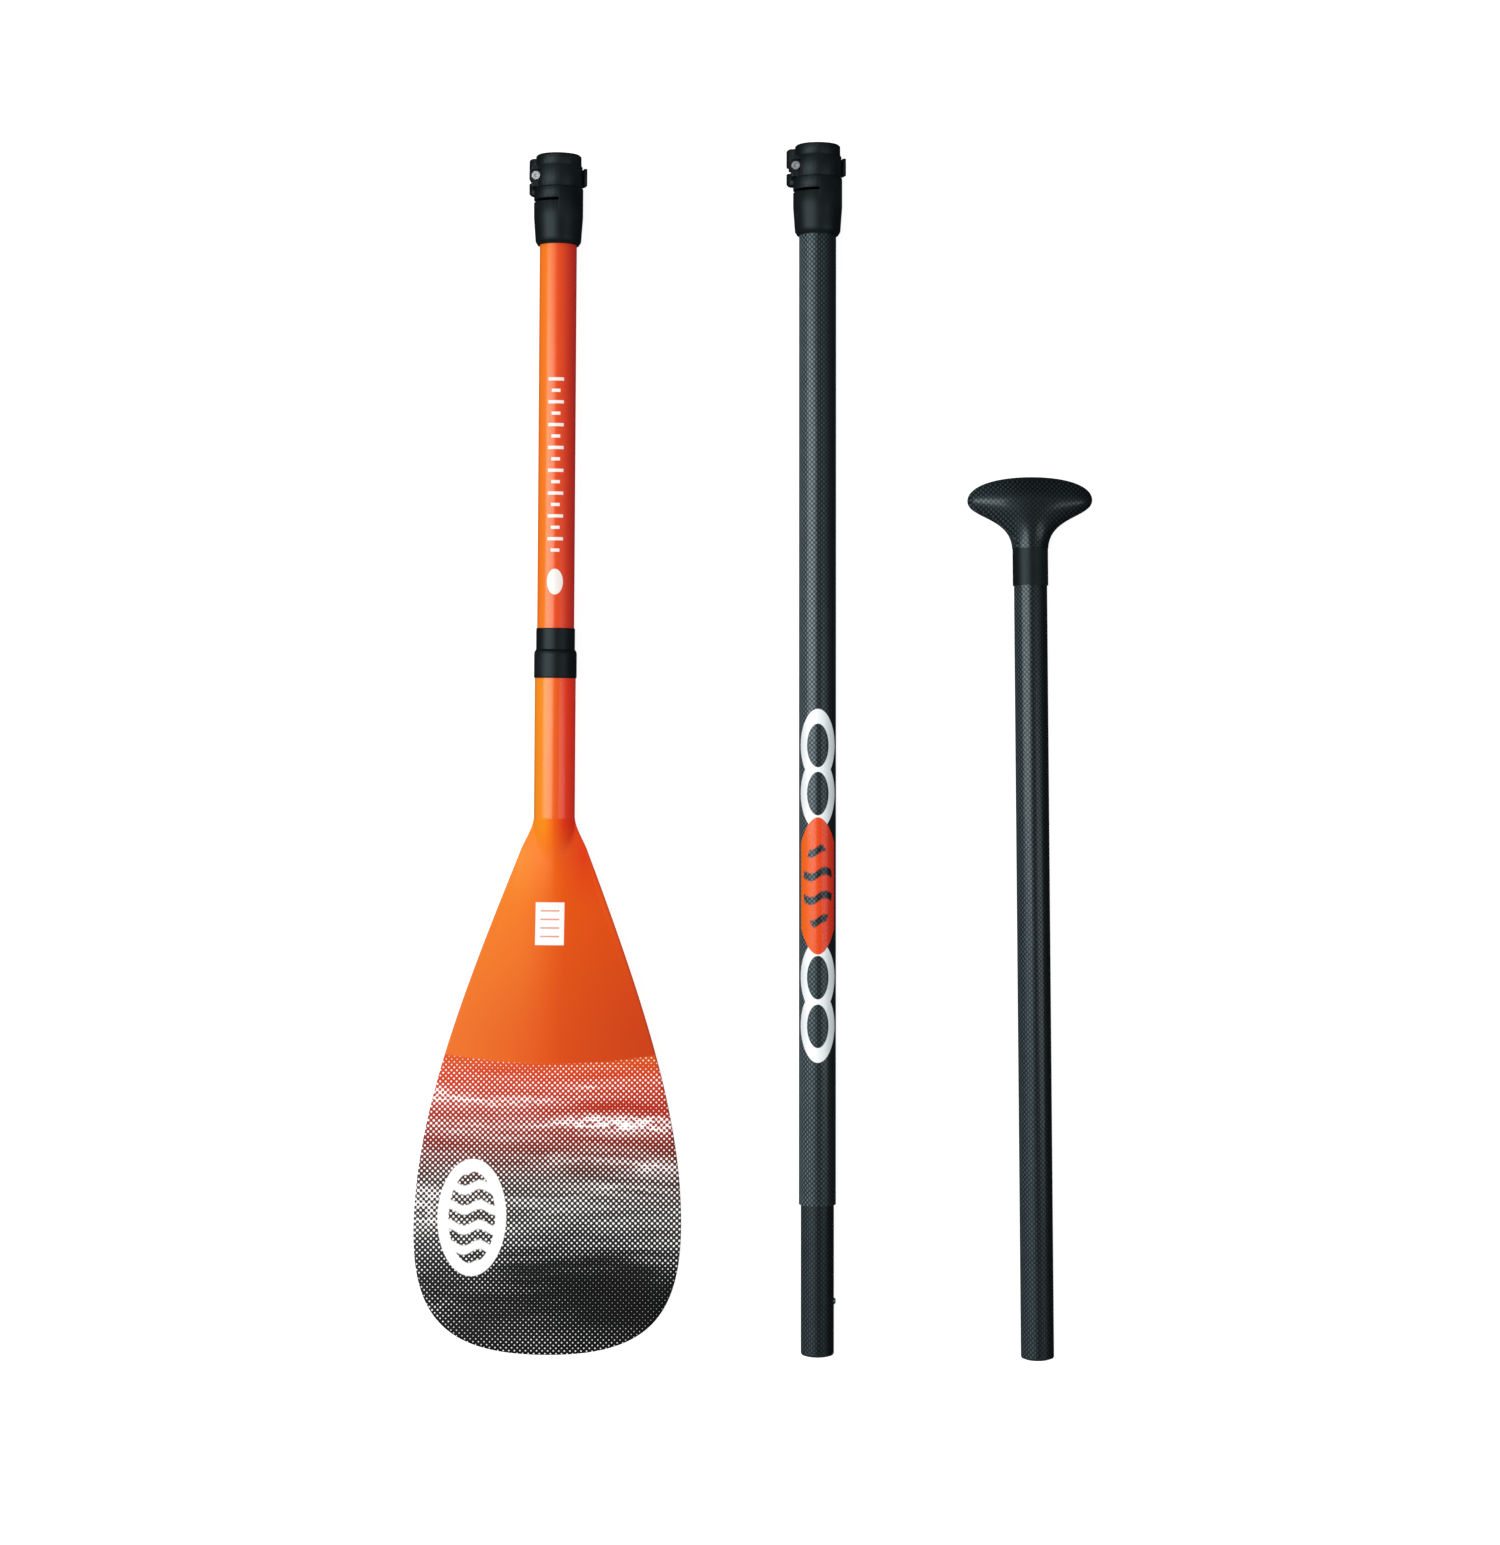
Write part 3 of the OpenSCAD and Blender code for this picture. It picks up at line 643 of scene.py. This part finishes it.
def ease(t):
    """0 to 1 as t goes from 0 to 1, smooth at both ends."""
    c = np.clip(t, 0, 1)
    return c * c * (3 - 2 * c)


def inset(s):
    """The line where the skins meet the rail."""
    p = outline(s)
    d = outline(min(s + 0.0005, 1)) - outline(max(s - 0.0005, 0))
    n = np.array([d[1], -d[0]]) / np.linalg.norm(d)
    w = RAIL_W * ease((p[0] - RAIL_START) / RAIL_RUN)
    return np.array([p[0] + n[0] * w * min(p[0] / 60, 1), max(p[1] + n[1] * w, 0.4)])


def mid_y(v):
    """Height of the blade's middle surface: it curves up from the throat, then runs straight."""
    return np.where(v < BEND_RUN, BEND * v * v / (2 * BEND_RUN), BEND * (v - BEND_RUN / 2))


def smax(a, b, k):
    """The larger of a and b, rounded over about k where they cross."""
    return (a + b + np.sqrt((a - b) ** 2 + k * k)) / 2


def rib(v, x, run, keep):
    """Height of the neck's round as it sinks into the blade, down to `keep` after `run`."""
    dome = np.sqrt(np.maximum(NECK_R**2 - x * x, 0)) - 1.6 * np.maximum(np.abs(x) - NECK_R, 0)
    return dome - (NECK_R - keep) * (v / run) ** 1.15


def fall(q):
    """How far a ridge has fallen at share q of the half width: rounded at its crest."""
    return (np.sqrt(q * q + CREST**2) - CREST) / (math.sqrt(1 + CREST**2) - CREST)


def face_y(v, x, w, front):
    """Height of the front or back face at x, where the blade is w wide to either side."""
    q = np.abs(x) / w
    fillet = 0.8 + 2.6 * (1 - q)
    if front:
        flat = EDGE + FRONT_RIDGE * (1 - 0.75 * ease(v / LENGTH)) * (1 - fall(q))
        return mid_y(v) + smax(flat, rib(v, x, 30, 7), fillet)
    flat = EDGE + BACK_RIDGE * (1 - fall(q))
    return mid_y(v) - smax(flat, rib(v, x, 190, 3), fillet)


ROWS, COLS = 220, 88
SHUT_TO, SHUT_RUN, LAP = 15, 20, 1.6


def blade_solid(name, mat, top, bottom, short=0.0):
    """A closed layer of the blade between two depths. A depth is (front face or back, inset).

    Above the rail the skins turn in and meet at the edge, and the foam stops `short` of it.
    """
    q = np.linspace(-1, 1, COLS + 1)
    across = np.sign(q) * np.abs(q) ** 1.1
    layers = []
    for front, under in (top, bottom):
        layer = []
        for s in np.linspace(0, 1, ROWS + 1):
            v, w = inset(s)
            shut = 1 - ease((v - SHUT_TO) / SHUT_RUN)
            x = across * (w - short * shut)
            y = face_y(v, x, w, front) - (under if front else -under)
            if under and not short:
                y = y + (mid_y(v) - y) * ease((np.abs(x) - w + LAP) / (LAP * 0.7)) * shut
            layer += [(a, b, v) for a, b in zip(x, y)]
        layers.append(layer)
    n, size = COLS + 1, len(layers[0])
    faces = []
    for i in range(ROWS):
        for j in range(COLS):
            a, b = i * n + j, i * n + j + 1
            c, d = b + n, a + n
            faces += [(a, b, c, d), (a + size, d + size, c + size, b + size)]
    ring = (
        list(range(n))
        + [i * n + COLS for i in range(1, ROWS + 1)]
        + [ROWS * n + j for j in range(COLS - 1, -1, -1)]
        + [i * n for i in range(ROWS - 1, 0, -1)]
    )
    for a, b in zip(ring, ring[1:] + ring[:1]):
        faces.append((b, a, a + size, b + size))
    pts = np.array(layers[0] + layers[1]) / 1000
    pts[:, 2] += THROAT
    return add_mesh(name, blade.world(pts), faces, mat, sharp=40)


RAIL_FROM = 0.05


def blade_rim(mat):
    """The moulded edge: one rounded strip from shoulder to shoulder round the tip."""
    run = np.linspace(RAIL_FROM, 1, 150)
    path = [(s, 1) for s in run] + [(s, -1) for s in run[-2::-1]]
    angles = np.linspace(0, math.pi, 9)
    pts = []
    for k, (s, side) in enumerate(path):
        o, i = outline(s), inset(s)
        tip = k == len(run) - 1
        ox, ix = (0, 0) if tip else (o[1], i[1])
        for a in angles:
            out = math.sin(a) ** 0.6
            h = EDGE * math.copysign(abs(math.cos(a)) ** 0.5, math.cos(a))
            v = i[0] + (o[0] - i[0]) * out
            x = ix + (ox - ix) * out
            base = mid_y(i[0]) + (mid_y(o[0]) - mid_y(i[0])) * out
            pts.append((side * x, base + h, v))
    n = len(angles)
    faces = []
    for k in range(len(path) - 1):
        for j in range(n):
            a, b = k * n + j, k * n + (j + 1) % n
            faces.append((a, b, b + n, a + n))
    last = (len(path) - 1) * n
    faces += [tuple(range(n))[::-1], tuple(last + j for j in range(n))]
    pts = np.array(pts) / 1000
    pts[:, 2] += THROAT
    return add_mesh("blade_rim", blade.world(pts), faces, mat, sharp=50)


GRIP_H, GRIP_BORE, GRIP_BORE_TOP = 56.0, 13.3, 24.0
CROWN = [[0.3, 0], [31, 0.1], [49, 7.9], [49, 18.5]]
WAIST = [[49, 18.5], [49, 32], [15.2, 31], [14.2, GRIP_H]]
DEEP = [[0.3, 0], [9, 0.4], [16, 3], [16, 18.5]]
DEEP_LOW = [[16, 18.5], [16, 32], [14.2, 36], [14.2, GRIP_H]]


def grip_shell(mat):
    """Palm grip: oval rings from the crown to the neck, and a bore for the tube."""
    seg, rings = 96, 110
    turn = [2 * math.pi * j / seg for j in range(seg)]
    pts, faces = [], []
    for i in range(rings + 1):
        t = i / rings
        half, deep = (CROWN, DEEP) if t < 0.5 else (WAIST, DEEP_LOW)
        u = t * 2 if t < 0.5 else t * 2 - 1
        a, z = bez(half, u)
        b = bez(deep, u)[0]
        pts += [(a * math.cos(g), b * math.sin(g), z) for g in turn]
    for z in (GRIP_H, GRIP_BORE_TOP):
        pts += [(GRIP_BORE * math.cos(g), GRIP_BORE * math.sin(g), z) for g in turn]
    for i in range(rings + 2):
        for j in range(seg):
            a, b = i * seg + j, i * seg + (j + 1) % seg
            faces.append((a, b, b + seg, a + seg))
    faces.append(tuple(range(seg))[::-1])
    faces.append(tuple((rings + 2) * seg + j for j in range(seg)))
    return add_mesh("grip_shell", handle.world(np.array(pts) / 1000), faces, mat, sharp=40)


# ---------------------------------------------------------------- pieces
black = plastic("nylon_black", 1.0)
black_lever = plastic("nylon_lever", 21.0)
metal, soft_foam, plug_rubber = steel(), foam(), rubber()
orange_shaft = shaft_paint()
tube_carbon = middle_shaft()
handle_carbon = plain_carbon("handle_carbon", handle, INNER_R, 0.5)
ferrule_carbon = plain_carbon("ferrule_carbon", middle, INNER_R, 0.45)
grip_carbon = plain_carbon("grip_carbon", handle, None, 0.40)

CAD_LOOKS = {
    "neck_sleeve": black, "lower_collar": black, "lower_band": black, "lower_lever": black_lever,
    "upper_collar": black, "upper_band": black, "upper_lever": black_lever, "grip_cuff": black,
    "lower_tube": orange_shaft, "blade_neck": orange_shaft, "middle_tube": tube_carbon,
    "handle_tube": handle_carbon, "ferrule": ferrule_carbon,
    "blade_core": soft_foam, "lower_bung": soft_foam, "middle_bung": soft_foam,
    "grip_core": soft_foam, "ferrule_plug": plug_rubber, "handle_plug": plug_rubber,
}
for name, ob in nodes.items():
    mat = CAD_LOOKS.get(name, metal)
    for s in ob.material_slots:
        s.material = mat

# worn corners on the clamps' parts, moulded and steel
for name in nodes:
    if name.endswith(("_collar", "_band", "_lever", "_saddle", "_bolt")):
        weld = nodes[name].modifiers.new("weld", "WELD")
        weld.merge_threshold = 0.00001
        bevel = nodes[name].modifiers.new("edges", "BEVEL")
        bevel.width = 0.00025
        bevel.segments = 2
        bevel.limit_method = "ANGLE"
        bevel.angle_limit = math.radians(35)
        bevel.use_clamp_overlap = True
        bevel.harden_normals = True

FRONT, BACK = True, False
face = blade_solid("blade_face", blade_paint("print_front", "front"), (FRONT, 0), (FRONT, SKIN))
rear = blade_solid("blade_rear", blade_paint("print_rear", "rear"), (BACK, SKIN), (BACK, 0))
core = blade_solid("blade_foam", soft_foam, (FRONT, SKIN + 0.05), (BACK, SKIN + 0.05), LAP)
rim = blade_rim(blade_paint("blade_rim", "rim"))
shell = grip_shell(grip_carbon)
spring = bpy.data.objects.new("button_spring", nodes["snap_spring"].data.copy())
bpy.context.scene.collection.objects.link(spring)
for piece, body, node, slot in (
    (face, "blade_section", "blade_front_skin", "blade_print"),
    (rear, "blade_section", "blade_back_skin", "blade_paint"),
    (core, "blade_section", "blade_core", "foam"),
    (rim, "blade_section", "edge_rail", "blade_edge"),
    (shell, "handle_section", "palm_grip", "carbon_gloss"),
    (spring, "middle_section", "snap_spring", "steel"),
):
    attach(piece, body)
    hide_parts(node)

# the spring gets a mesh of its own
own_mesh(spring)


# ---------------------------------------------------------------- floor, light, camera
def floor():
    me = bpy.data.meshes.new("floor")
    r = 30.0
    me.from_pydata([(-r, -r, 0), (r, -r, 0), (r, r, 0), (-r, r, 0)], [], [(0, 1, 2, 3)])
    ob = bpy.data.objects.new("floor", me)
    bpy.context.scene.collection.objects.link(ob)
    p = Paint("floor_pale", None, Roughness=0.9, Specular_IOR_Level=0.1)
    p.set("Base Color", (0.5, 0.5, 0.5))
    p.set("Emission Color", (1, 1, 1))
    p.set("Emission Strength", 0.80)
    me.materials.append(p.mat)
    ob.location.z = -0.0003
    ob.visible_glossy = False
    ob.visible_diffuse = False


def area(name, where, aim, size, power):
    light = bpy.data.lights.new(name, "AREA")
    light.shape = "RECTANGLE"
    light.size, light.size_y = size
    light.energy = power
    ob = bpy.data.objects.new(name, light)
    bpy.context.scene.collection.objects.link(ob)
    ob.location = where
    ob.rotation_mode = "QUATERNION"
    ob.rotation_quaternion = (Vector(where) - Vector(aim)).to_track_quat("Z", "Y")
    ob.visible_camera = False


def world():
    """White to the camera, soft light on surfaces, and dim in their reflections."""
    w = bpy.data.worlds.new("studio")
    bpy.context.scene.world = w
    w.use_nodes = True
    t = w.node_tree
    path = t.nodes.new("ShaderNodeLightPath")
    color = (0.030, 0.035, 0.038, 1)
    for ray, shade in (("Is Diffuse Ray", (0.46, 0.465, 0.47, 1)), ("Is Camera Ray", (1, 1, 1, 1))):
        m = t.nodes.new("ShaderNodeMix")
        m.data_type = "RGBA"
        t.links.new(path.outputs[ray], m.inputs[0])
        plug(t, m.inputs[6], color)
        m.inputs[7].default_value = shade
        color = m.outputs[2]
    t.links.new(color, t.nodes["Background"].inputs["Color"])


def camera():
    """Straight down over the laid-out sections."""
    cam = bpy.data.cameras.new("camera")
    cam.sensor_width = 36.0
    cam.lens = 70.37
    ob = bpy.data.objects.new("camera", cam)
    bpy.context.scene.collection.objects.link(ob)
    ob.location = (-0.0052, -0.0143, 2.385)
    bpy.context.scene.camera = ob


floor()
world()
area("key", (-3.0, 0.3, 3.8), (0, 0, 0), (1.3, 5.0), 168)
area("fill", (3.0, -0.4, 3.2), (0, 0, 0), (0.8, 3.0), 28)
camera()
view = bpy.context.scene.view_settings
view.view_transform = "Standard"
view.look = "None"
